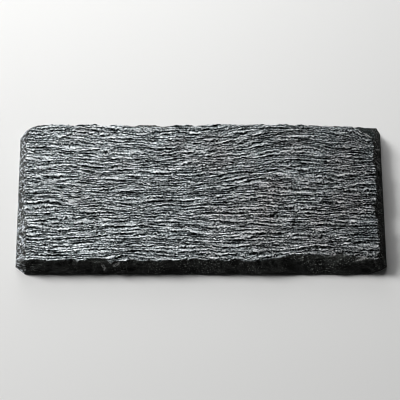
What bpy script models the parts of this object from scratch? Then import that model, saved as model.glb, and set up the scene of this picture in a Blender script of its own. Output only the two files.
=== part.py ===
"""A riven slate serving slab: one stone, split along its cleavage, with hand-chipped sloping edges.

Metres, +Z up, the long side along X. The origin is the middle of the underside.
"""

import math

import bmesh
import bpy
import numpy as np

NAME = "slate_slab"

# Driving dimensions.
LENGTH = 0.2400  # along X, across the foot of the chipped edges
WIDTH = 0.1200  # along Y, across the foot of the chipped edges
THICKNESS = 0.0094  # underside to the mean level of the riven face
SIDE_SLOPE_RUN = 0.0040  # how far the front and back edges slope in from foot to face
END_SLOPE_RUN = 0.0052  # how far the two ends slope in
SLOPE_CURVE = {"front": 1.6, "back": 1.3, "left": 1.0, "right": 1.0}  # above 1 the foot is the steeper part
LEFT_TAPER = 0.0012  # how far the front of the left end stands in from square

# The four corners, knocked off when the slab was trimmed: side of X, side of Y, run along X, run along Y
# at the foot, share of both runs left at the face. Two or three lines at one corner round it off.
CORNER_CHIPS = (
    (-1, -1, 0.0064, 0.0058, 0.15),
    (1, -1, 0.0089, 0.0059, 0.50),
    (1, -1, 0.0122, 0.0047, 0.40),
    (-1, 1, 0.0050, 0.0088, 1.00),
    (-1, 1, 0.0084, 0.0056, 1.00),
    (-1, 1, 0.0120, 0.0030, 1.00),
    (1, 1, 0.0022, 0.0050, 1.00),
)

# The upper sheets are broken off the right back corner. The break leaves the face along a line across
# the corner and runs down to the foot of the corner.
BREAK_DIRECTION = math.radians(41)  # from +X towards +Y
BREAK_AT_FACE = 0.1110  # from the origin to that line
BREAK_BULGE = 0.0036  # how far the middle of the line bulges towards the corner
BREAK_MIDDLE = -0.0380  # along the line, from the origin's foot on it
BREAK_HALF = 0.0135  # half of the line's length
BREAK_RUN = 0.0155  # from that line to the foot
BREAK_BACK_RUN = 0.0050  # the same at the back edge, where the break is steep
BREAK_BACK = (-0.0300, 0.0070)  # along the line: where it starts to steepen, and over how far
BREAK_STEP = 0.0011  # height of the sheets that show in it
BREAK_SLOPED = 0.3  # share of the fall that is an even slope; the rest is in the steps
BREAK_STEP_RUN = 0.5  # share of each sheet that its sloping end takes
BREAK_WAVES = ((0.0090, 0.0090, 0.0016), (0.0040, 0.0040, 0.0009))
BREAK_LOWEST = 0.0009  # the outermost facets stop short of the underside

# Long flakes struck off the edges: edge, middle along it, half length, depth at the face.
LONG_FLAKES = (
    ("front", 0.0790, 0.0400, 0.0048),
    ("front", 0.0930, 0.0060, 0.0063),
    ("front", -0.0700, 0.0090, 0.0024),
    ("front", 0.0020, 0.0260, 0.0009),
    ("back", -0.0330, 0.0160, 0.0020),
    ("back", 0.0980, 0.0060, 0.0012),
    ("left", -0.0420, 0.0220, 0.0016),
    ("left", 0.0100, 0.0120, 0.0007),
    ("right", 0.0300, 0.0150, 0.0010),
    ("right", -0.0150, 0.0120, 0.0009),
)
LONG_FLAKE_CURVE = 0.7  # below 1 the middle is flatter than a scoop
FLAKE_RISE = 4.0  # above 1 a long flake leaves the foot standing and bites in towards the face

# Small chips along every edge.
CHIP_SPACING = 0.0042
CHIP_HALF_LENGTH = (0.0025, 0.0080)
CHIP_HALF_HEIGHT = (0.0022, 0.0060)
CHIP_DEPTH = (0.0005, 0.0019)
CHIP_LEVEL = (0.15, 1.15)  # shares of the thickness
CHIP_SEED = 29

# The edges step down in sheets, most of all the two ends. Waves are (length, width, height).
EDGE_SEEDS = {"front": 200, "back": 210, "left": 220, "right": 230}
EDGE_STEPPED = {"front": 0.2, "back": 0.5, "left": 0.9, "right": 0.7}
EDGE_WAVES = ((0.0240, 0.0200, 0.0004), (0.0060, 0.0060, 0.0003))
SHEET_THICKNESS = 0.0016
SHEET_END = 0.28  # share of a sheet's height that its end takes
SHEET_WAVES = ((0.0060, 0.0040, 0.9),)  # the height is in sheets
SHEET_SEED = 5  # added to an edge's seed
FOOT_SHARE = 0.35  # share of the thickness over which the chipping fades out towards the straight foot

# The riven face.
TRACE_WAVES = (
    (0.0700, 0.0450, 0.0030),
    (0.0260, 0.0140, 0.0016),
    (0.0110, 0.0060, 0.0007),
    (0.0055, 0.0040, 0.0004),
)
FACE_SWELL = (
    (0.0700, 0.0400, 0.0007),
    (0.0340, 0.0120, 0.0005),
    (0.0180, 0.0060, 0.0003),
)
TILTED_TRACES = 0.10  # slope of the traces in the back middle of the face
TILTED_MIDDLE = (0.0, 0.028)
TILTED_REACH = (0.055, 0.028)
# Sheets that end in a low step facing the front and fall gently to the back: pitch, length, height,
# share of the pitch that the step takes, seed.
TREADS = (
    (0.0075, 0.0300, 0.00060, 0.12, 30),
    (0.0036, 0.0160, 0.00065, 0.18, 32),
)
TREAD_BEND = (1.0, 1.8, 1.35)  # length in tread lengths, width and height in pitches
TREAD_SWELL = (0.8, 1.2)  # length in tread lengths, width in pitches
TREAD_STRENGTH = (0.05, 0.6, 1.4)  # least, mean and greatest share of the height
TREAD_CURVE = 1.6  # above 1 the tread falls away quickest at its step
TREAD_MEAN = 0.45  # mean level, as a share of the height
ROW_SHIFT = (7.7, 3.3)  # keeps one row's swell apart from the next row's
STRENGTH_SEED = 20  # added to a row's seed

NOISE_SEED = 7
TRACE_SEED = 11
SWELL_SEED = 81
BREAK_SEED = 160
NOISE_STEPS = 256
WAVE_SHIFT = (5.1, 2.7)  # keeps one wave apart from the next
TINY = 1e-9

# The lattice that the stone is worked from, and the facets left before the underside is sawn flat.
CELLS = (300, 180, 14)
SAW_ALLOWANCE = 0.0012  # stone below the underside that the saw takes off
SAW_MARGIN = 1.2  # the saw's size beside the slab's
FACETS = 9500


def noise_table(seed):
    """A shuffled run of numbers, twice over."""
    order = np.random.default_rng(seed).permutation(NOISE_STEPS)
    return np.concatenate([order, order])


def noise(x, y, seed):
    """Smooth noise of unit wavelength, from about -1 to 1."""
    table = noise_table(NOISE_SEED + seed)
    column = np.floor(x).astype(int)
    row = np.floor(y).astype(int)
    across = x - column
    up = y - row

    def corner(i, j):
        pick = table[table[(column + i) % NOISE_STEPS] + (row + j) % NOISE_STEPS]
        angle = pick * (2 * math.pi / NOISE_STEPS)
        return np.cos(angle) * (across - i) + np.sin(angle) * (up - j)

    def ease(part):
        return part**3 * (part * (part * 6 - 15) + 10)

    low = corner(0, 0) * (1 - ease(across)) + corner(1, 0) * ease(across)
    high = corner(0, 1) * (1 - ease(across)) + corner(1, 1) * ease(across)
    return math.sqrt(2) * (low * (1 - ease(up)) + high * ease(up))


def waves(x, y, rows, seed):
    """The sum of several noises, one for each (length, width, height)."""
    total = np.zeros_like(x)
    for i, (length, width, height) in enumerate(rows):
        shifted_x = x / length + WAVE_SHIFT[0] * i
        shifted_y = y / width + WAVE_SHIFT[1] * i
        total += height * noise(shifted_x, shifted_y, seed + i)
    return total


def smooth_step(value):
    held = np.clip(value, 0, 1)
    return held * held * (3 - 2 * held)


def treads(x, y, pitch, length, height, step, seed):
    """Rows of sheets along X, each with its steep end to the front, which swell and die out along X."""
    bend_length, bend_width, bend = TREAD_BEND
    phase = y / pitch + bend * noise(x / (bend_length * length), y / (bend_width * pitch), seed)
    row = np.floor(phase)
    part = phase - row
    fall = ((1 - part) / (1 - step)) ** TREAD_CURVE
    swell_x = x / (TREAD_SWELL[0] * length) + ROW_SHIFT[0] * row
    swell_y = y / (TREAD_SWELL[1] * pitch) + ROW_SHIFT[1] * row
    least, mean, greatest = TREAD_STRENGTH
    strength = np.clip(mean + noise(swell_x, swell_y, seed + STRENGTH_SEED), least, greatest)
    return height * strength * (np.where(part < step, part / step, fall) - TREAD_MEAN)


def along_traces(x, y):
    """Y measured across the wandering cleavage traces."""
    away_x = (x - TILTED_MIDDLE[0]) / TILTED_REACH[0]
    away_y = (y - TILTED_MIDDLE[1]) / TILTED_REACH[1]
    tilted = np.exp(-(away_x**2) - away_y**2)
    return y - TILTED_TRACES * x * tilted + waves(x, y, TRACE_WAVES, TRACE_SEED)


def corner_break(x, y):
    """Height of the broken corner's stepped surface, above the face away from the corner."""
    out = x * math.cos(BREAK_DIRECTION) + y * math.sin(BREAK_DIRECTION)
    along = y * math.cos(BREAK_DIRECTION) - x * math.sin(BREAK_DIRECTION)
    out = out - BREAK_BULGE * np.maximum(1 - ((along - BREAK_MIDDLE) / BREAK_HALF) ** 2, -1)
    out = out + waves(x, y, BREAK_WAVES, BREAK_SEED)
    steepened = smooth_step((along - BREAK_BACK[0]) / BREAK_BACK[1])
    run = BREAK_RUN + (BREAK_BACK_RUN - BREAK_RUN) * steepened
    fall = (out - BREAK_AT_FACE) / run * THICKNESS
    sheet = np.floor(fall / BREAK_STEP)
    past_middle = fall / BREAK_STEP - sheet - 0.5
    stepped = BREAK_STEP * (sheet + smooth_step(past_middle / BREAK_STEP_RUN + 0.5))
    return np.maximum(THICKNESS - BREAK_SLOPED * fall - (1 - BREAK_SLOPED) * stepped, BREAK_LOWEST)


def riven_face(x, y):
    """Height of the riven face at a place in plan."""
    across = along_traces(x, y)
    height = THICKNESS + waves(x, across, FACE_SWELL, SWELL_SEED)
    for row in TREADS:
        height = height + treads(x, across, *row)
    return np.minimum(height, corner_break(x, y))


def chip_marks(edge, length):
    """The small chips of one edge, as (middle, height of the middle, half length, half height, depth)."""
    random = np.random.default_rng([CHIP_SEED, EDGE_SEEDS[edge]])
    marks = []
    for _ in range(int(length / CHIP_SPACING)):
        middle = random.uniform(-length / 2, length / 2)
        level = THICKNESS * random.uniform(*CHIP_LEVEL)
        half = random.uniform(*CHIP_HALF_LENGTH)
        tall = random.uniform(*CHIP_HALF_HEIGHT)
        marks.append((middle, level, half, tall, random.uniform(*CHIP_DEPTH)))
    return marks


def chipped(along, height, marks):
    """How far an edge is struck back: the deepest of its scoop-shaped chips."""
    depth = np.zeros_like(along)
    for middle, level, half, tall, deep in marks:
        scoop = 1 - ((along - middle) / half) ** 2 - ((height - level) / tall) ** 2
        depth = np.maximum(depth, deep * scoop)
    return depth


def long_flake(edge, along):
    """How much farther in the face's edge stands, where a long flake came off."""
    depth = np.zeros_like(along)
    for name, middle, half, deep in LONG_FLAKES:
        if name == edge:
            scoop = np.clip(1 - ((along - middle) / half) ** 2, 0, 1)
            depth = np.maximum(depth, deep * scoop**LONG_FLAKE_CURVE)
    return depth


def edge_inset(edge, along, height):
    """How far an edge stands in from the foot's straight line, at a height above the underside."""
    long_side = edge in ("front", "back")
    run = SIDE_SLOPE_RUN if long_side else END_SLOPE_RUN
    seed = EDGE_SEEDS[edge]
    deep = chipped(along, height, chip_marks(edge, LENGTH if long_side else WIDTH))
    rough = deep + waves(along, height, EDGE_WAVES, seed)
    above_foot = smooth_step(height / (FOOT_SHARE * THICKNESS))
    bent = height / SHEET_THICKNESS + waves(along, height, SHEET_WAVES, seed + SHEET_SEED)
    sheet = np.floor(bent)
    stair = sheet + smooth_step((bent - sheet - 1 + SHEET_END) / SHEET_END) - bent
    stair = EDGE_STEPPED[edge] * above_foot * stair * SHEET_THICKNESS / THICKNESS
    up = np.maximum(height, 0) / THICKNESS
    slope = run * (up ** SLOPE_CURVE[edge] + stair)
    return slope + long_flake(edge, along) * (up**FLAKE_RISE + stair) + above_foot * rough


def corner_squeeze(x, y, half_x, half_y, height):
    """Factor that pulls a plan point in, so that the outline's corners end on the knocked-off lines."""
    reach = np.maximum(np.maximum(np.abs(x) / half_x, np.abs(y) / half_y), TINY)
    factor = np.ones_like(x)
    up = np.maximum(height, 0) / THICKNESS
    for side_x, side_y, run_x, run_y, left in CORNER_CHIPS:
        span = math.hypot(run_x, run_y)
        normal = (side_x * run_y / span, side_y * run_x / span)
        cut = run_x * run_y / span * (1 - (1 - left) * up)
        limit = normal[0] * side_x * half_x + normal[1] * side_y * half_y - cut
        out = (normal[0] * x + normal[1] * y) / reach
        factor = np.minimum(factor, np.where(out > limit, limit / np.maximum(out, TINY), 1))
    return factor


def outline(u, v, height):
    """Plan point of a lattice point, where the edges stand at a height above the underside."""
    along_x = u * LENGTH / 2
    along_y = v * WIDTH / 2
    left = edge_inset("left", along_y, height) + LEFT_TAPER * (1 - v) / 2
    right = edge_inset("right", along_y, height)
    front = edge_inset("front", along_x, height)
    back = edge_inset("back", along_x, height)
    half_x = LENGTH / 2 - np.where(u < 0, left, right)
    half_y = WIDTH / 2 - np.where(v < 0, front, back)
    squeeze = corner_squeeze(u * half_x, v * half_y, half_x, half_y, height)
    return u * half_x * squeeze, v * half_y * squeeze


def shape(place):
    """The stone's points, from lattice points that run from -1 to 1 each way."""
    u, v, w = place.T
    rise = (w + 1) / 2
    height = rise * (THICKNESS + SAW_ALLOWANCE) - SAW_ALLOWANCE
    # Where the corner has broken off, the edges only slope in as far as the stone still stands.
    standing = np.clip(corner_break(*outline(u, v, height)) / THICKNESS, 0, 1)
    x, y = outline(u, v, np.where(height > 0, height * standing, height))
    z = rise * (riven_face(x, y) + SAW_ALLOWANCE) - SAW_ALLOWANCE
    return np.column_stack([x, y, z])


def lattice(cells):
    """A box from -1 to 1, cut into rows of cells each way."""
    mesh = bmesh.new()
    bmesh.ops.create_cube(mesh, size=2)
    for axis, count in enumerate(cells):
        edges = [
            edge
            for edge in mesh.edges
            if abs(edge.verts[0].co[axis] - edge.verts[1].co[axis]) > 1
        ]
        bmesh.ops.subdivide_edges(mesh, edges=edges, cuts=count - 1, use_grid_fill=True)
    return mesh


def slate_material():
    material = bpy.data.materials.new("riven_slate")
    material.use_nodes = True
    surface = material.node_tree.nodes["Principled BSDF"]
    surface.inputs["Base Color"].default_value = (0.052, 0.057, 0.060, 1)
    surface.inputs["Roughness"].default_value = 0.55
    surface.inputs["Metallic"].default_value = 0
    return material


def saw(collection):
    """The block of stone below the underside that is sawn away."""
    bpy.ops.mesh.primitive_cube_add(size=1)
    block = bpy.context.active_object
    block.name = "saw"
    tall = 2 * SAW_MARGIN * SAW_ALLOWANCE
    block.scale = (SAW_MARGIN * LENGTH, SAW_MARGIN * WIDTH, tall)
    block.location = (0, 0, -tall / 2)
    bpy.ops.object.transform_apply(location=True, rotation=False, scale=True)
    block.hide_render = True
    block.display_type = "WIRE"
    for home in block.users_collection:
        home.objects.unlink(block)
    collection.objects.link(block)
    return block


def slate_slab(collection, cutters):
    worked = lattice(CELLS)
    place = np.array([vertex.co for vertex in worked.verts])
    for vertex, point in zip(worked.verts, shape(place)):
        vertex.co = point
    bmesh.ops.triangulate(worked, faces=worked.faces)
    triangles = len(worked.faces)
    mesh = bpy.data.meshes.new(NAME)
    worked.to_mesh(mesh)
    worked.free()
    slab = bpy.data.objects.new(NAME, mesh)
    collection.objects.link(slab)
    mesh.materials.append(slate_material())
    facets = slab.modifiers.new("facets", "DECIMATE")
    facets.ratio = FACETS / triangles
    underside = slab.modifiers.new("underside", "BOOLEAN")
    underside.operation = "DIFFERENCE"
    underside.solver = "EXACT"
    underside.object = saw(cutters)
    return slab


def main():
    for obj in list(bpy.data.objects):
        bpy.data.objects.remove(obj)
    collection = bpy.data.collections.new(NAME)
    cutters = bpy.data.collections.new(NAME + "_cutters")
    for home in (collection, cutters):
        bpy.context.scene.collection.children.link(home)
    slate_slab(collection, cutters)


main()
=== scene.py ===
import math

import bmesh
import bpy
import numpy as np
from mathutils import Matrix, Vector


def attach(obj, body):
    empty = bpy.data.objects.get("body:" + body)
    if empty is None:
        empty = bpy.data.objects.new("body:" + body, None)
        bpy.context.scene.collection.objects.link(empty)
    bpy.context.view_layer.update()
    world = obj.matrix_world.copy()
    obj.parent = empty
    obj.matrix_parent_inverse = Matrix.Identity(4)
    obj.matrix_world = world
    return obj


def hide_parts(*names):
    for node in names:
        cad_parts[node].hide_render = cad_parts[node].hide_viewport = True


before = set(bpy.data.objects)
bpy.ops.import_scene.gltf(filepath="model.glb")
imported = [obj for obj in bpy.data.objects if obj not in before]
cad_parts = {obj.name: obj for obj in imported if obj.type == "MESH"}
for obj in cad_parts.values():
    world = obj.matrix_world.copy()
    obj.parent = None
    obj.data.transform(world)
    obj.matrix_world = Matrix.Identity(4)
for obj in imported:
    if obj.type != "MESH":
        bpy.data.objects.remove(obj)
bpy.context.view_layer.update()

print("frame loaded")


# Camera: a long lens from the front, high above the slab
camera = {
    "elevation": 53,
    "distance": 1.751,
    "lens": 240.2,
    "sensor": 36.0,
    "near": 0.05,
    "far": 20,
}


def makeCamera():
    data = bpy.data.cameras.new("camera")
    data.lens = camera["lens"]
    data.sensor_width = camera["sensor"]
    data.clip_start = camera["near"]
    data.clip_end = camera["far"]
    eye = bpy.data.objects.new("camera", data)
    bpy.context.scene.collection.objects.link(eye)
    lift = math.radians(camera["elevation"])
    back = Vector((0, -math.cos(lift), math.sin(lift)))
    eye.location = back * camera["distance"]
    eye.rotation_mode = "QUATERNION"
    eye.rotation_quaternion = (-back).to_track_quat("-Z", "Y")
    bpy.context.scene.camera = eye


makeCamera()
print("camera made")


# Noise: gradient noise of unit wavelength, the same everywhere it is used
noiseValues = {
    "steps": 256,           # how far it runs before it repeats
    "seed": 7,
    "shift": (5.1, 2.7),    # each row of a set of waves is read this much farther on
}


def noiseTable(seed):
    order = np.random.default_rng(seed).permutation(noiseValues["steps"])
    return np.concatenate([order, order])


def noise(x, y, seed):
    steps = noiseValues["steps"]
    table = noiseTable(noiseValues["seed"] + seed)
    column = np.floor(x).astype(int)
    row = np.floor(y).astype(int)
    across = x - column
    up = y - row

    def corner(i, j):
        angle = table[table[(column + i) % steps] + (row + j) % steps] * (2 * math.pi / steps)
        return np.cos(angle) * (across - i) + np.sin(angle) * (up - j)

    easeX = across**3 * (across * (across * 6 - 15) + 10)
    easeY = up**3 * (up * (up * 6 - 15) + 10)
    low = corner(0, 0) * (1 - easeX) + corner(1, 0) * easeX
    high = corner(0, 1) * (1 - easeX) + corner(1, 1) * easeX
    return math.sqrt(2) * (low * (1 - easeY) + high * easeY)


def waves(x, y, rows, seed):
    shiftX, shiftY = noiseValues["shift"]
    total = np.zeros_like(x)
    for i, (length, width, height) in enumerate(rows):
        total += height * noise(x / length + shiftX * i, y / width + shiftY * i, seed + i)
    return total


def smoothStep(value):
    held = np.clip(value, 0, 1)
    return held * held * (3 - 2 * held)


# The slab: the same form as its solid, with the finer crinkle that only shows close to.
# All of it is worked out on a lattice box whose places run from -1 to 1.
slab = {
    "length": 0.2400,
    "width": 0.1200,
    "thickness": 0.0094,
    "sideRun": 0.0040,      # how far the long edges slope in
    "endRun": 0.0052,       # how far the short edges slope in
    "leftTaper": 0.0006,    # how much the left end is out of square
    "rightOut": 0.0003,     # how much farther out the right end stands
    "cells": (480, 380, 30),
    "outermost": 0.999,     # lattice places past this are on the box's skin
    "triangles": 196000,
    "sharpAngle": 40,
}


# The riven face: rows of treads along wandering traces
face = {
    "wander": (  # length, width, height of the bends in the traces
        (0.0700, 0.0450, 0.0024),
        (0.0260, 0.0140, 0.0008),
        (0.0110, 0.0060, 0.00034),
        (0.0048, 0.0036, 0.00030),
        (0.0026, 0.0018, 0.00048),
        (0.0013, 0.0011, 0.00040),
    ),
    "wanderSeed": 11,
    # middle, reach and slope of the tilted traces
    "tilted": (0.0260, 0.0330, 0.0600, 0.0300, 0.16),
    # start and reach along X, middle and reach along Y, and drop of the bend at a corner
    "cornerBend": (0.1000, 0.0140, 0.0480, 0.0120, 0.0050),
    "treads": (  # pitch, length, height, share of the pitch in the step, bend, seed
        (0.0070, 0.0450, 0.00038, 0.10, 1.0, 30),
        (0.0036, 0.0240, 0.00036, 0.20, 1.0, 32),
        (0.0023, 0.0190, 0.00062, 0.30, 1.0, 34),
        (0.0014, 0.0070, 0.00032, 0.38, 1.0, 36),
    ),
    "lineRow": 34,          # the treads that show as fine lines, by their seed
    "bendWidth": 2.6,       # in pitches
    "treadCurve": 1.6,
    "meanRise": 0.45,       # about the mean height of a tread, as a share
    "swellMean": 0.72,      # treads swell and die out along X
    "swellRange": (0.15, 1.25),
    "swellReach": (0.8, 1.2),       # in lengths and pitches
    "swellShift": (7.7, 3.3),       # so that each tread swells at places of its own
    "swellSeed": 20,        # added to the tread's seed
    "stepShade": (-1, 0.6),          # painted shade at a step's foot, and its gain up the step
    "treadShading": (-0.35, 1.2),      # painted shade at a tread's back, and its gain up to a painted highlight on the crest
    # length, width and height of the low hills, and below of the grain
    "hills": ((0.0700, 0.0400, 0.0007), (0.0340, 0.0120, 0.0005), (0.0180, 0.0060, 0.0003)),
    "hillSeed": 81,
    "grain": ((0.0030, 0.0009, 0.00008), (0.0014, 0.0006, 0.00005)),
    "grainSeed": 70,
    "grainShade": 2,         # how strongly the grain's rises are painted lighter and its dips darker
    "shadeAndToneHeight": 0.0006,
    "rim": 0.0011,          # how far in from its edge the face is paler
}


def treads(x, y, pitch, length, height, step, bend, seed):
    phase = y / pitch + bend * noise(x / length, y / (face["bendWidth"] * pitch), seed)
    count = np.floor(phase)
    part = phase - count
    tread = ((1 - part) / (1 - step)) ** face["treadCurve"]
    reachX, reachY = face["swellReach"]
    shiftX, shiftY = face["swellShift"]
    swellX = x / (reachX * length) + shiftX * count
    swellY = y / (reachY * pitch) + shiftY * count
    swell = face["swellMean"] + noise(swellX, swellY, seed + face["swellSeed"])
    strength = height * np.clip(swell, *face["swellRange"])
    rise = np.where(part < step, part / step, tread)
    stepFootShade, stepGain = face["stepShade"]
    treadBackShade, treadGain = face["treadShading"]
    # painted shade down each step, painted light up each tread to its crest
    shadeAndTone = np.where(part < step, stepFootShade + stepGain * part / step, treadGain * tread + treadBackShade)
    return strength * (rise - face["meanRise"]), strength * shadeAndTone, phase


def alongTraces(x, y):
    middleX, middleY, reachX, reachY, slope = face["tilted"]
    offX = x - middleX
    tilted = slope * offX * np.exp(-((offX / reachX) ** 2) - ((y - middleY) / reachY) ** 2)
    startX, widthX, cornerY, widthY, drop = face["cornerBend"]
    corner = smoothStep((x - startX) / widthX) * np.exp(-(((y - cornerY) / widthY) ** 2))
    return y - tilted + drop * corner + waves(x, y, face["wander"], face["wanderSeed"])


def faceRelief(x, y):
    across = alongTraces(x, y)
    detail = np.zeros_like(x)
    shadeAndTone = np.zeros_like(x)
    for row in face["treads"]:
        rise, light, phase = treads(x, across, *row)
        detail = detail + rise
        if row[-1] == face["lineRow"]:
            line = phase        # the material paints the shade and highlight lines of these
        else:
            shadeAndTone = shadeAndTone + light
    grain = waves(x, across, face["grain"], face["grainSeed"])
    shadeAndTone = (shadeAndTone + face["grainShade"] * grain) / face["shadeAndToneHeight"]
    return waves(x, across, face["hills"], face["hillSeed"]) + detail + grain, shadeAndTone, across, line


# The back right corner, broken off in thin sheets
brokenCorner = {
    "direction": math.radians(41),      # the way out of the corner, turned from X
    "atFace": 0.1110,       # how far out that way the break leaves the face
    "bulge": 0.0036,        # the break's line bulges towards the corner
    "middle": -0.0380,      # place along the break where it bulges most
    "half": 0.0135,         # half the width of the bulge
    "run": 0.0155,          # how far out it takes to fall through the thickness
    "backRun": 0.0050,      # steeper at the back edge
    "back": (-0.0300, 0.0070),      # where along the break that starts, and its reach
    "step": 0.0011,         # thickness of its sheets
    "lowest": 0.0009,       # stone left under it
    "sloped": 0.3,          # share of the fall that is an even slope; the rest is in the steps
    "stepRun": 0.5,         # share of each sheet's run that its step takes
    "waves": ((0.0090, 0.0090, 0.0010), (0.0040, 0.0040, 0.0008), (0.0014, 0.0014, 0.0004)),
    "seed": 160,
}


def cornerBreak(x, y):
    turn = brokenCorner["direction"]
    out = x * math.cos(turn) + y * math.sin(turn)
    along = y * math.cos(turn) - x * math.sin(turn)
    aside = (along - brokenCorner["middle"]) / brokenCorner["half"]
    out = out - brokenCorner["bulge"] * np.maximum(1 - aside**2, -1)
    out = out + waves(x, y, brokenCorner["waves"], brokenCorner["seed"])
    steepFrom, steepReach = brokenCorner["back"]
    steepened = smoothStep((along - steepFrom) / steepReach)
    run = brokenCorner["run"] + (brokenCorner["backRun"] - brokenCorner["run"]) * steepened
    fall = (out - brokenCorner["atFace"]) / run * slab["thickness"]
    step = brokenCorner["step"]
    sheet = np.floor(fall / step)
    stepped = step * (sheet + smoothStep((fall / step - sheet - 0.5) / brokenCorner["stepRun"] + 0.5))
    drop = brokenCorner["sloped"] * fall + (1 - brokenCorner["sloped"]) * stepped
    return np.maximum(slab["thickness"] - drop, brokenCorner["lowest"])


# Places where a flake just came off, paler stone painted bright as if they caught the light: middle, half
# length, half width, slope in plan
paleLitFlakes = (
    (-0.0617, -0.0576, 0.0012, 0.0006, -0.60),
    (-0.0536, -0.0568, 0.0020, 0.0003, 0.15),
    (0.1040, -0.0541, 0.0040, 0.0005, 0.14),
    (0.1085, 0.0480, 0.0050, 0.0013, -0.45),
    (0.1165, 0.0425, 0.0016, 0.0004, -0.90),
    (0.1178, 0.0390, 0.0014, 0.0005, 0.90),
    (0.1172, 0.0345, 0.0016, 0.0004, -1.00),
    (0.1180, 0.0310, 0.0014, 0.0005, 1.00),
    (0.1172, 0.0268, 0.0016, 0.0004, -0.80),
    (0.1180, 0.0235, 0.0014, 0.0005, 0.90),
)
paleLitFade = (2.2, 1.6)       # level at the middle, held to 1, and how fast it falls off


def palenessAndLight(x, y):
    middlePaleLit, fade = paleLitFade
    paleLit = np.zeros_like(x)
    for middleX, middleY, halfLength, halfWidth, slope in paleLitFlakes:
        offX = x - middleX
        away = (offX / halfLength) ** 2 + ((y - middleY - slope * offX) / halfWidth) ** 2
        paleLit = np.maximum(paleLit, smoothStep(middlePaleLit - fade * away))
    return paleLit


# The underside: shallow hollows that stay clear of its rim
underside = {
    "pitch": 0.0110,
    "length": 0.0500,
    "depth": 0.0004,
    "rim": 0.0060,
    "finer": (0.4, 0.3, 0.5),       # length, pitch and depth of the finer ones, as shares
    "seeds": (180, 181),
}


def underHollows(x, y, halfX, halfY):
    across = alongTraces(x, y)
    length, pitch = underside["length"], underside["pitch"]
    shareX, shareY, shareZ = underside["finer"]
    first, second = underside["seeds"]
    hollow = noise(x / length, across / pitch, first)
    hollow = hollow + shareZ * noise(x / (shareX * length), across / (shareY * pitch), second)
    inside = np.minimum(halfX - np.abs(x), halfY - np.abs(y)) / underside["rim"]
    return underside["depth"] * np.clip(hollow, 0, 1) * smoothStep(inside)


# The broken edges: sloped in, flaked from the face and chipped
edges = {
    "wander": (  # length, height, depth of the waviness of a broken edge
        (0.0240, 0.0200, 0.0004),
        (0.0060, 0.0060, 0.0003),
        (0.0030, 0.0007, 0.0003),
        (0.0012, 0.0008, 0.0002),
    ),
    "seeds": {"front": 200, "back": 210, "left": 220, "right": 230},
    # how strongly each edge follows the broken sheets, and how jagged it is
    "stepped": {"front": 0.1, "back": 0.5, "left": 0.9, "right": 0.7},
    "jagged": {"front": 0.4, "back": 0.8, "left": 1.0, "right": 1.4},
    "jags": ((0.0018, 0.0040, 0.0007), (0.0009, 0.0020, 0.0004)),
    "jagSeed": 3,
    "slopeCurve": {"front": 1.6, "back": 1.3, "left": 1.0, "right": 1.0},   # above 1 the foot is steeper
    "flakeCurve": 4.0,      # the higher, the closer a long flake keeps to the face
    "flakeRound": 0.7,      # below 1 a long flake is blunter at its ends
    "outward": 0.0001,      # how far an edge may bulge out
    "bruisedLitTo": -0.1118,   # up to here the left end is bruised with chisel marks, painted pale for the light it catches
    "bruisedLitFade": 0.0015,
    "sheet": 0.0016,        # thickness of the sheets that the ends break back in
    "sheetBend": (0.006, 0.004, 0.9),   # length, height and size of their bends, the last in sheets
    "sheetSeed": 5,         # added to the edge's seed, as is jagSeed
    "sheetParts": (0.72, 0.28),     # shares of a sheet in its tread and its riser
    "footShare": 0.35,      # the chips fade in over this share of the height
    "arrisWidth": 0.00009,  # two chips this close in depth meet in a pale arris
}
longFlakes = (  # edge, middle along it, half length, depth at the face; below 0 a tongue was left standing
    ("front", 0.0820, 0.0420, 0.0049),
    ("front", 0.0950, 0.0080, 0.0066),
    ("front", -0.0700, 0.0090, 0.0024),
    ("front", 0.0020, 0.0260, 0.0009),
    ("front", -0.0615, 0.0022, -0.0021),
    ("back", -0.0330, 0.0160, 0.0020),
    ("back", 0.0980, 0.0060, 0.0012),
    ("left", -0.0420, 0.0220, 0.0016),
    ("left", 0.0100, 0.0120, 0.0007),
    ("right", 0.0300, 0.0150, 0.0010),
    ("right", -0.0150, 0.0120, 0.0009),
)
chips = (  # spacing, half lengths, half heights, depths, seed
    (0.0042, (0.0025, 0.0080), (0.0022, 0.0060), (0.0005, 0.0019), 29),
    (0.0010, (0.0007, 0.0020), (0.0006, 0.0016), (0.0002, 0.0007), 31),
)
chipLevels = (0.15, 1.15)   # how high up they are centred, as shares of the thickness


def chipMarks(edge, length):
    marks = []
    for spacing, *sizes, seed in chips:
        random = np.random.default_rng([seed, edges["seeds"][edge]])
        for _ in range(int(length / spacing)):
            middle = random.uniform(-length / 2, length / 2)
            level = slab["thickness"] * random.uniform(*chipLevels)
            marks.append((middle, level, *(random.uniform(*limits) for limits in sizes)))
    return marks


def chipped(along, height, marks):
    deepest = np.zeros_like(along)
    second = np.zeros_like(along)
    for middle, level, half, tall, deep in marks:
        scoop = deep * (1 - ((along - middle) / half) ** 2 - ((height - level) / tall) ** 2)
        second = np.maximum(second, np.minimum(scoop, deepest))
        deepest = np.maximum(deepest, scoop)
    arris = np.exp(-(((deepest - second) / edges["arrisWidth"]) ** 2))
    return deepest, arris


def longFlake(edge, along):
    # how much farther in the face's edge stands, where a long flake came off
    depth = np.zeros_like(along)
    for name, middle, half, deep in longFlakes:
        if name == edge:
            flake = deep * np.clip(1 - ((along - middle) / half) ** 2, 0, 1) ** edges["flakeRound"]
            depth = depth + flake if deep < 0 else np.maximum(depth, flake)
    return depth


def sheetStair(along, height, seed):
    # how far the stair of broken sheets stands off an even slope
    bendAlong, bendUp, bend = edges["sheetBend"]
    bent = height / edges["sheet"] + bend * noise(along / bendAlong, height / bendUp, seed)
    sheet = np.floor(bent)
    tread, riser = edges["sheetParts"]
    climbed = sheet + smoothStep((bent - sheet - tread) / riser)
    return (climbed - bent) * edges["sheet"] / slab["thickness"]


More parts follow.
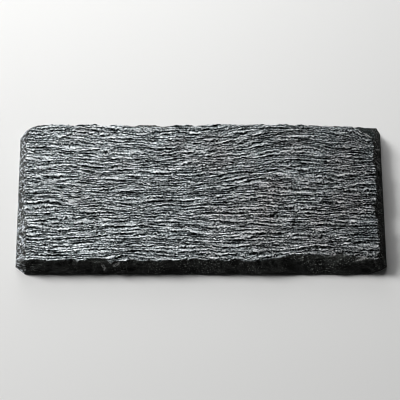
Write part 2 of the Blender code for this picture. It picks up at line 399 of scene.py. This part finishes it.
def edgeInset(edge, places, levels):
    # a table of how far the edge stands in at each place along it and each level up it
    run = slab["sideRun"] if edge in ("front", "back") else slab["endRun"]
    seed = edges["seeds"][edge]
    along, height = np.meshgrid(places, levels, indexing="ij")
    deep, arris = chipped(along, height, chipMarks(edge, places[-1] - places[0]))
    wander = np.maximum(waves(along, height, edges["wander"], seed), -edges["outward"])
    aboveFoot = smoothStep(height / (edges["footShare"] * slab["thickness"]))
    stair = edges["stepped"][edge] * aboveFoot * sheetStair(along, height, seed + edges["sheetSeed"])
    up = height / slab["thickness"]
    slope = run * (up ** edges["slopeCurve"][edge] + stair)
    flaked = longFlake(edge, along) * (up ** edges["flakeCurve"] + stair)
    jags = edges["jagged"][edge] * waves(along, height, edges["jags"], seed + edges["jagSeed"])
    rough = deep + wander + jags * up
    return slope + flaked + aboveFoot * rough, arris * aboveFoot


def readTable(table, index, level):
    # a table's value at a whole place along the edge and any level up it
    low = np.floor(level).astype(int)
    high = np.minimum(low + 1, table.shape[1] - 1)
    share = level - low
    return table[index, low] * (1 - share) + table[index, high] * share


# The knocked-off corners: side of X, side of Y, run along X, run along Y, share of the runs left at the face
cornerChips = (
    (-1, -1, 0.0064, 0.0058, 0.15),
    (1, -1, 0.0089, 0.0059, 0.08),
    (1, -1, 0.0122, 0.0047, 0.05),
    (-1, 1, 0.0050, 0.0088, 1.00),
    (-1, 1, 0.0084, 0.0056, 1.00),
    (-1, 1, 0.0120, 0.0030, 1.00),
    (1, 1, 0.0022, 0.0050, 1.00),
)
hair = 1e-9     # keeps a division away from zero


def cornerSqueeze(x, y, halfX, halfY, up):
    reach = np.maximum(np.maximum(np.abs(x) / halfX, np.abs(y) / halfY), hair)
    factor = np.ones_like(x)
    for sideX, sideY, runX, runY, left in cornerChips:
        span = math.hypot(runX, runY)
        normalX = sideX * runY / span
        normalY = sideY * runX / span
        cut = runX * runY / span * (1 - (1 - left) * up)
        limit = normalX * sideX * halfX + normalY * sideY * halfY - cut
        out = (normalX * x + normalY * y) / reach
        factor = np.minimum(factor, np.where(out > limit, limit / np.maximum(out, hair), 1))
    return factor


def slabPoints(place):
    u, v, w = place.T
    columns, rows, levels = (
        np.rint((line + 1) / 2 * count).astype(int) for line, count in zip((u, v, w), slab["cells"])
    )
    alongX, alongY, upZ = (
        np.linspace(-size / 2, size / 2, count + 1)
        for size, count in zip((slab["length"], slab["width"], slab["thickness"]), slab["cells"])
    )
    upZ = upZ + slab["thickness"] / 2
    left, right = edgeInset("left", alongY, upZ), edgeInset("right", alongY, upZ)
    front, back = edgeInset("front", alongX, upZ), edgeInset("back", alongX, upZ)
    taper = np.where(u < 0, slab["leftTaper"] * (1 - v), -slab["rightOut"])

    def outline(level):
        inX = np.where(u < 0, readTable(left[0], rows, level), readTable(right[0], rows, level))
        inY = np.where(v < 0, readTable(front[0], columns, level), readTable(back[0], columns, level))
        halfX = slab["length"] / 2 - taper - inX
        halfY = slab["width"] / 2 - inY
        squeeze = cornerSqueeze(u * halfX, v * halfY, halfX, halfY, level / slab["cells"][2])
        return u * halfX * squeeze, v * halfY * squeeze, halfX, halfY

    # where the corner has broken off, the edges only slope in as far as the stone still stands
    x, y, halfX, halfY = outline(levels)
    standing = np.clip(cornerBreak(x, y) / slab["thickness"], 0, 1)
    x, y, halfX, halfY = outline(levels * standing)

    relief, shadeAndTone, across, line = faceRelief(x, y)
    riven = slab["thickness"] + relief
    split = cornerBreak(x, y)
    onTop = w > slab["outermost"]
    onSide = np.abs(w) <= slab["outermost"]
    atEnd = np.abs(u) > slab["outermost"]
    onFace = onTop & (split > riven)
    under = np.where(w < -slab["outermost"], underHollows(x, y, halfX, halfY), 0)
    z = (w + 1) / 2 * np.minimum(riven, split) + under
    endArris = np.where(u < 0, left[1][rows, levels], right[1][rows, levels])
    sideArris = np.where(v < 0, front[1][columns, levels], back[1][columns, levels])
    masks = {
        "shadeAndTone": np.where(onFace, shadeAndTone, 0),
        "edge": np.where(onSide, 1.0, 0.0),
        "paleLit": np.where(onFace, 0, palenessAndLight(x, y)),
        "bruisedLit": smoothStep((edges["bruisedLitTo"] - x) / edges["bruisedLitFade"]),
        "split": np.where(onTop & (split < riven), 1.0, 0.0),
        "arris": np.where(onSide, np.where(atEnd, endArris, sideArris), 0.0),
        "rim": np.exp(-np.minimum(halfX - np.abs(x), halfY - np.abs(y)) / face["rim"]) * onTop,
        "across": across,
        "line": line,
    }
    return np.column_stack([x, y, z]), masks


def lattice(cells):
    # an edge that isn't cut yet is 2 long, which is how those along each axis are found
    mesh = bmesh.new()
    bmesh.ops.create_cube(mesh, size=2)
    for axis, count in enumerate(cells):
        lines = [
            edge
            for edge in mesh.edges
            if abs(edge.verts[0].co[axis] - edge.verts[1].co[axis]) > 1.5
        ]
        bmesh.ops.subdivide_edges(mesh, edges=lines, cuts=count - 1, use_grid_fill=True)
    return mesh


def makeSlab():
    worked = lattice(slab["cells"])
    raw = bpy.data.meshes.new("slabLattice")
    worked.to_mesh(raw)
    worked.free()
    place = np.empty(len(raw.vertices) * 3, np.float32)
    raw.vertices.foreach_get("co", place)
    points, masks = slabPoints(place.reshape(-1, 3).astype(float))
    raw.vertices.foreach_set("co", points.astype(np.float32).ravel())
    for name, values in masks.items():
        raw.attributes.new(name, "FLOAT", "POINT").data.foreach_set("value", values.astype(np.float32))
    raw.update()
    rough = bpy.data.objects.new("slabLattice", raw)
    bpy.context.scene.collection.objects.link(rough)
    fewer = rough.modifiers.new("fewer", "DECIMATE")
    fewer.ratio = slab["triangles"] / (2 * len(raw.polygons))
    graph = bpy.context.evaluated_depsgraph_get()
    mesh = bpy.data.meshes.new_from_object(rough.evaluated_get(graph))
    mesh.name = "slateSlab"
    bpy.data.objects.remove(rough)
    bpy.data.meshes.remove(raw)
    mesh.shade_smooth()
    mesh.set_sharp_from_angle(angle=math.radians(slab["sharpAngle"]))
    piece = bpy.data.objects.new("slateSlab", mesh)
    bpy.context.scene.collection.objects.link(piece)
    print("slab made:", len(mesh.polygons), "faces")
    return piece


stone = makeSlab()


# Slate: a silky dark riven face, duller and blacker where it is broken
slate = {
    "refraction": 1.5,
    "specular": 0.15,
    "deep": (0.197, 0.240, 0.250),      # the face's colour where its tone paints shade in the hollows
    "crest": (0.228, 0.240, 0.245),     # and where it paints light on the crests
    "crestRange": (-0.6, 0.6),          # the tones between which one turns into the other
    "warm": (0.254, 0.234, 0.234),      # faint brown and purple patches
    "warmPatch": 0.030,
    "warmRange": (0.5, 0.8),            # the levels between which they come in
    "warmShare": 0.45,
    "warmDrift": 1.2,                   # more of them towards the right
    "faceContrast": 13.0,               # a tone of 1 is this much brighter than one of 0: the strength of the face's painted shade and highlights
    "faceShoulder": 0.50,               # holds the painted highlights on the crests back from white
    "faceMetallic": 0.55,               # the cleavage's sheen
    "faceRoughness": (0.30, 0.46),
    "streaks": ((0.0080, 0.0018), (0.0011, 0.0015)),     # length and pitch of the finest streaks
    "fineShare": 0.66,                  # share of the shorter ones
    "streakTone": 1.30,
    "streakHeight": 0.00012,
    "lineShade": (0.13, 0.22, -1.95),    # place in the tread, reach, tone of the painted shade line in each step
    "lineHighlight": (0.44, 0.20, 1.06),    # and of the painted highlight line along its crest
    "lineJag": 0.62,
    "lineRun": 0.0030,                  # they fade in and out over this length
    "lineFade": (0.15, 1.35),
    "jag": (0.0020, 0.0090, 0.0009),    # length, width and size of the jags in them
    "rimTone": 0.25,
    "shadeDrift": (0.10, 11.5, 0.062),   # level, fall and start: painted shade, the face darker towards its right end where its sheen falls off
    "broken": (0.014, 0.015, 0.014),    # the stone under the riven face
    "brokenSheet": (0.0076, 0.0101, 0.0099),     # and in the broken corner
    "brokenRoughness": 0.60,
    "brokenHeight": 0.00010,
    "grainSize": 0.0006,
    "grainContrast": 3.0,
    "arrisLight": 2.5,                  # how much brighter a worn arris is
    "speckSize": 0.0007,
    "speckRange": (0.64, 0.75),         # sparse bright specks in the broken stone
    "speckLight": (0.3, 22.0),          # least and most
    "speckPatch": 0.014,                # they come and go in patches
    "speckPatchRange": (0.40, 0.60),
    # the left end's chisel bruises, painted pale for the light that end catches
    "litBruise": (0.460, 0.495, 0.530),
    "fleckSlant": (1.8, -0.1),          # chisel marks on the left end, slanting both ways
    "fleckSize": (0.0140, 0.0070),
    "fleckRange": (0.016, 0.060),
    "fleckBreak": 0.0016,               # the marks are broken up at this size
    "fleckBroken": (0.44, 0.58),
    "freshLit": (0.860, 0.870, 0.860),     # where a flake just came off: paler stone, painted near white as if lit
    "freshLitRange": (0.42, 0.58),
    "freshLitMost": 0.9,
    "sheenFrom": 0.84,                  # how flat a broken place is before it shows the cleavage's sheen
    "sheenFull": 0.97,
    "noiseRoughness": 0.6,
    "noiseWide": (0.3, 0.7),            # most of a noise texture's values are between these
    "noiseNarrow": (0.35, 0.65),        # and many are between these
}


def makeSlate():
    material = bpy.data.materials.new("slate")
    material.use_nodes = True
    nodes = material.node_tree.nodes
    links = material.node_tree.links
    surface = nodes["Principled BSDF"]
    surface.inputs["IOR"].default_value = slate["refraction"]
    surface.inputs["Specular IOR Level"].default_value = slate["specular"]
    wide, narrow = slate["noiseWide"], slate["noiseNarrow"]

    def fill(socket, value):
        if hasattr(value, "is_linked"):
            links.new(value, socket)
        else:
            socket.default_value = value

    def mask(name):
        node = nodes.new("ShaderNodeAttribute")
        node.attribute_name = name
        return node.outputs["Fac"]

    def maths(operation, first, second=0):
        node = nodes.new("ShaderNodeMath")
        node.operation = operation
        fill(node.inputs[0], first)
        fill(node.inputs[1], second)
        return node.outputs["Value"]

    def ranged(value, low, high, start=0.0, end=1.0):
        node = nodes.new("ShaderNodeMapRange")
        node.inputs["From Min"].default_value = start
        node.inputs["From Max"].default_value = end
        node.inputs["To Min"].default_value = low
        node.inputs["To Max"].default_value = high
        links.new(value, node.inputs["Value"])
        return node.outputs["Result"]

    def blend(factor, first, second):
        node = nodes.new("ShaderNodeMix")
        node.data_type = "RGBA"
        fill(node.inputs["Factor"], factor)
        inputs = [socket for socket in node.inputs if socket.type == "RGBA"]
        for socket, colour in zip(inputs, (first, second)):
            fill(socket, colour if hasattr(colour, "is_linked") else (*colour, 1))
        return next(socket for socket in node.outputs if socket.type == "RGBA")

    def scaled(colour, factor):
        node = nodes.new("ShaderNodeVectorMath")
        node.operation = "SCALE"
        fill(node.inputs[0], colour)
        links.new(factor, node.inputs["Scale"])
        return node.outputs["Vector"]

    def speckle(place, scale, detail, name):
        node = nodes.new("ShaderNodeTexNoise")
        node.label = name
        node.inputs["Scale"].default_value = scale
        node.inputs["Detail"].default_value = detail
        node.inputs["Roughness"].default_value = slate["noiseRoughness"]
        links.new(place, node.inputs["Vector"])
        return node.outputs["Fac"]

    def bump(height, distance, under=None):
        node = nodes.new("ShaderNodeBump")
        node.inputs["Distance"].default_value = distance
        links.new(height, node.inputs["Height"])
        if under:
            links.new(under, node.inputs["Normal"])
        return node.outputs["Normal"]

    place = nodes.new("ShaderNodeTexCoord").outputs["Object"]
    apart = nodes.new("ShaderNodeSeparateXYZ")
    links.new(place, apart.inputs["Vector"])
    placeX, placeY, placeZ = (apart.outputs[axis] for axis in "XYZ")

    def stretched(first, firstSize, second, secondSize, detail, name):
        pair = nodes.new("ShaderNodeCombineXYZ")
        links.new(maths("DIVIDE", first, firstSize), pair.inputs["X"])
        links.new(maths("DIVIDE", second, secondSize), pair.inputs["Y"])
        return speckle(pair.outputs["Vector"], 1, detail, name)

    # streaks along the traces
    jagLength, jagWidth, jagSize = slate["jag"]
    jags = stretched(placeX, jagLength, placeY, jagWidth, 1, "jags")
    across = maths("ADD", mask("across"), ranged(jags, -jagSize, jagSize))
    coarse, fine = (
        stretched(placeX, length, across, pitch, 1, "streaks") for length, pitch in slate["streaks"]
    )
    coarse = maths("MULTIPLY", coarse, 1 - slate["fineShare"])
    streaks = maths("ADD", coarse, maths("MULTIPLY", fine, slate["fineShare"]))
    grain = speckle(place, 1 / slate["grainSize"], 2, "grain")

    # a painted shade line and a painted highlight line in each fine tread, jagged and broken into runs
    line = mask("line")
    part = maths("FRACT", maths("ADD", line, ranged(jags, -slate["lineJag"], slate["lineJag"])))
    runs = stretched(placeX, slate["lineRun"], line, 1, 1, "runs")
    runs = ranged(runs, *slate["lineFade"], *narrow)

    def paintedLine(middle, reach, depth):
        off = maths("ABSOLUTE", maths("SUBTRACT", part, middle))
        return ranged(off, depth, 0, 0, reach)

    lines = maths("ADD", paintedLine(*slate["lineShade"]), paintedLine(*slate["lineHighlight"]))

    # the riven face: its painted shade and highlights, with its streaky tone, turned into colour
    shadeAndTone = maths("ADD", mask("shadeAndTone"), ranged(streaks, -slate["streakTone"], slate["streakTone"], *wide))
    shadeAndTone = maths("ADD", shadeAndTone, maths("MULTIPLY", lines, runs))
    shadeAndTone = maths("ADD", shadeAndTone, maths("MULTIPLY", mask("rim"), slate["rimTone"]))
    # painted shade: darker towards the right end, where the face's sheen falls off
    level, fall, start = slate["shadeDrift"]
    paintedFalloff = maths("MULTIPLY", maths("POWER", maths("ADD", placeX, start), 2), fall)
    shadeAndTone = maths("ADD", shadeAndTone, maths("SUBTRACT", level, paintedFalloff))
    stony = blend(ranged(shadeAndTone, 0, 1, *slate["crestRange"]), slate["deep"], slate["crest"])
    patches = speckle(place, 1 / slate["warmPatch"], 1, "patches")
    warmth = maths("ADD", patches, maths("MULTIPLY", placeX, slate["warmDrift"]))
    stony = blend(ranged(warmth, 0, slate["warmShare"], *slate["warmRange"]), stony, slate["warm"])
    lit = maths("POWER", slate["faceContrast"], shadeAndTone)
    shoulder = maths("ADD", maths("MULTIPLY", lit, slate["faceShoulder"]), 1.0)
    faceColour = scaled(stony, maths("DIVIDE", maths("MULTIPLY", lit, 1 + slate["faceShoulder"]), shoulder))

    # the broken stone: grain, worn arrises and specks
    dusted = maths("POWER", slate["grainContrast"], ranged(grain, -1, 1, *wide))
    dusted = maths("MULTIPLY", dusted, maths("POWER", slate["arrisLight"], mask("arris")))
    specks = ranged(speckle(place, 1 / slate["speckSize"], 0, "specks"), 0, 1, *slate["speckRange"])
    speckled = speckle(place, 1 / slate["speckPatch"], 1, "speckled")
    speckled = ranged(speckled, *slate["speckLight"], *slate["speckPatchRange"])
    dusted = maths("ADD", dusted, maths("MULTIPLY", specks, speckled))
    dark = scaled(blend(mask("split"), slate["broken"], slate["brokenSheet"]), dusted)

    # its left end, bruised with chisel marks and painted pale for the light it catches, and the places where
    # a flake just came off, painted pale and bright as if lit
    def strokes(slant):
        leaning = maths("ADD", placeY, maths("MULTIPLY", placeZ, slant))
        length, width = slate["fleckSize"]
        ridged = stretched(leaning, width, placeZ, length, 0, "strokes")
        off = maths("ABSOLUTE", maths("SUBTRACT", ridged, 0.5))
        return ranged(off, 1, 0, *slate["fleckRange"])

    flecks = maths("MAXIMUM", *(strokes(slant) for slant in slate["fleckSlant"]))
    crushed = speckle(place, 1 / slate["fleckBreak"], 2, "crushed")
    flecks = maths("MULTIPLY", flecks, ranged(crushed, 0, 1, *slate["fleckBroken"]))
    brokenColour = blend(maths("MULTIPLY", mask("bruisedLit"), flecks), dark, slate["litBruise"])
    freshLit = maths("MULTIPLY", mask("paleLit"), ranged(grain, 0, slate["freshLitMost"], *slate["freshLitRange"]))
    brokenColour = blend(freshLit, brokenColour, slate["freshLit"])

    # flat places along the edges keep the cleavage's sheen
    facing = nodes.new("ShaderNodeSeparateXYZ")
    links.new(nodes.new("ShaderNodeNewGeometry").outputs["Normal"], facing.inputs["Vector"])
    steep = ranged(facing.outputs["Z"], 1, 0, slate["sheenFrom"], slate["sheenFull"])
    steep = maths("MAXIMUM", steep, ranged(mask("bruisedLit"), 1, 0))
    broken = maths("MAXIMUM", maths("MULTIPLY", mask("edge"), steep), mask("split"))

    links.new(blend(broken, faceColour, brokenColour), surface.inputs["Base Color"])
    links.new(ranged(broken, slate["faceMetallic"], 0), surface.inputs["Metallic"])
    silky = ranged(streaks, *slate["faceRoughness"], *wide)
    dull = maths("MULTIPLY", broken, maths("SUBTRACT", slate["brokenRoughness"], silky))
    links.new(maths("ADD", silky, dull), surface.inputs["Roughness"])
    crinkled = bump(maths("MULTIPLY", streaks, ranged(broken, 1, 0)), slate["streakHeight"])
    links.new(bump(grain, slate["brokenHeight"], crinkled), surface.inputs["Normal"])
    return material


stone.data.materials.append(makeSlate())
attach(stone, "root")
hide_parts("slate_slab")
print("slate finished")


# Floor and soft light
studio = {
    "floorSize": 6.0,
    "floorCells": 8,
    "floorColour": (0.80, 0.80, 0.79, 1),
    "floorRoughness": 0.9,
    "floorSpecular": 0.1,
    "world": (1.0, 1.0, 1.0, 1),
    "worldStrength": 0.025,
    "pixelFilter": 1.0,     # its width in pixels; a narrow one keeps the fine lines crisp
    "lamps": (  # name, place, width, height, power
        ("key", (-1.93, 0.86, 1.13), 0.80, 0.80, 45.0),
        ("far", (-2.69, 1.20, 1.70), 1.00, 1.00, 34.0),
        ("high", (-2.47, 1.43, 1.85), 1.20, 1.20, 28.5),
        ("overhead", (-0.12, 0.35, 0.45), 0.30, 0.30, 0.76),
        ("skimming", (-0.15, 0.60, 0.22), 0.30, 0.20, 0.60),
        ("behind", (-0.30, 1.60, 0.60), 1.20, 0.60, 5.0),
    ),
}


def makeFloor():
    cells = studio["floorCells"]
    mesh = bmesh.new()
    bmesh.ops.create_grid(mesh, x_segments=cells, y_segments=cells, size=studio["floorSize"] / 2)
    data = bpy.data.meshes.new("floor")
    mesh.to_mesh(data)
    mesh.free()
    floor = bpy.data.objects.new("floor", data)
    bpy.context.scene.collection.objects.link(floor)
    material = bpy.data.materials.new("paperFloor")
    material.use_nodes = True
    surface = material.node_tree.nodes["Principled BSDF"]
    surface.inputs["Base Color"].default_value = studio["floorColour"]
    surface.inputs["Roughness"].default_value = studio["floorRoughness"]
    surface.inputs["Specular IOR Level"].default_value = studio["floorSpecular"]
    data.materials.append(material)


def makeLamp(name, place, width, height, power):
    data = bpy.data.lights.new(name, "AREA")
    data.shape = "RECTANGLE"
    data.size = width
    data.size_y = height
    data.energy = power
    lamp = bpy.data.objects.new(name, data)
    lamp.location = place
    lamp.rotation_mode = "QUATERNION"
    lamp.rotation_quaternion = (-Vector(place)).to_track_quat("-Z", "Y")
    lamp.visible_camera = False
    bpy.context.scene.collection.objects.link(lamp)


def makeWorld():
    world = bpy.data.worlds.new("studio")
    bpy.context.scene.world = world
    world.use_nodes = True
    sky = world.node_tree.nodes["Background"]
    sky.inputs["Color"].default_value = studio["world"]
    sky.inputs["Strength"].default_value = studio["worldStrength"]


makeFloor()
for lamp in studio["lamps"]:
    makeLamp(*lamp)
makeWorld()
bpy.context.scene.view_settings.view_transform = "Standard"
bpy.context.scene.cycles.filter_width = studio["pixelFilter"]
print("studio made")
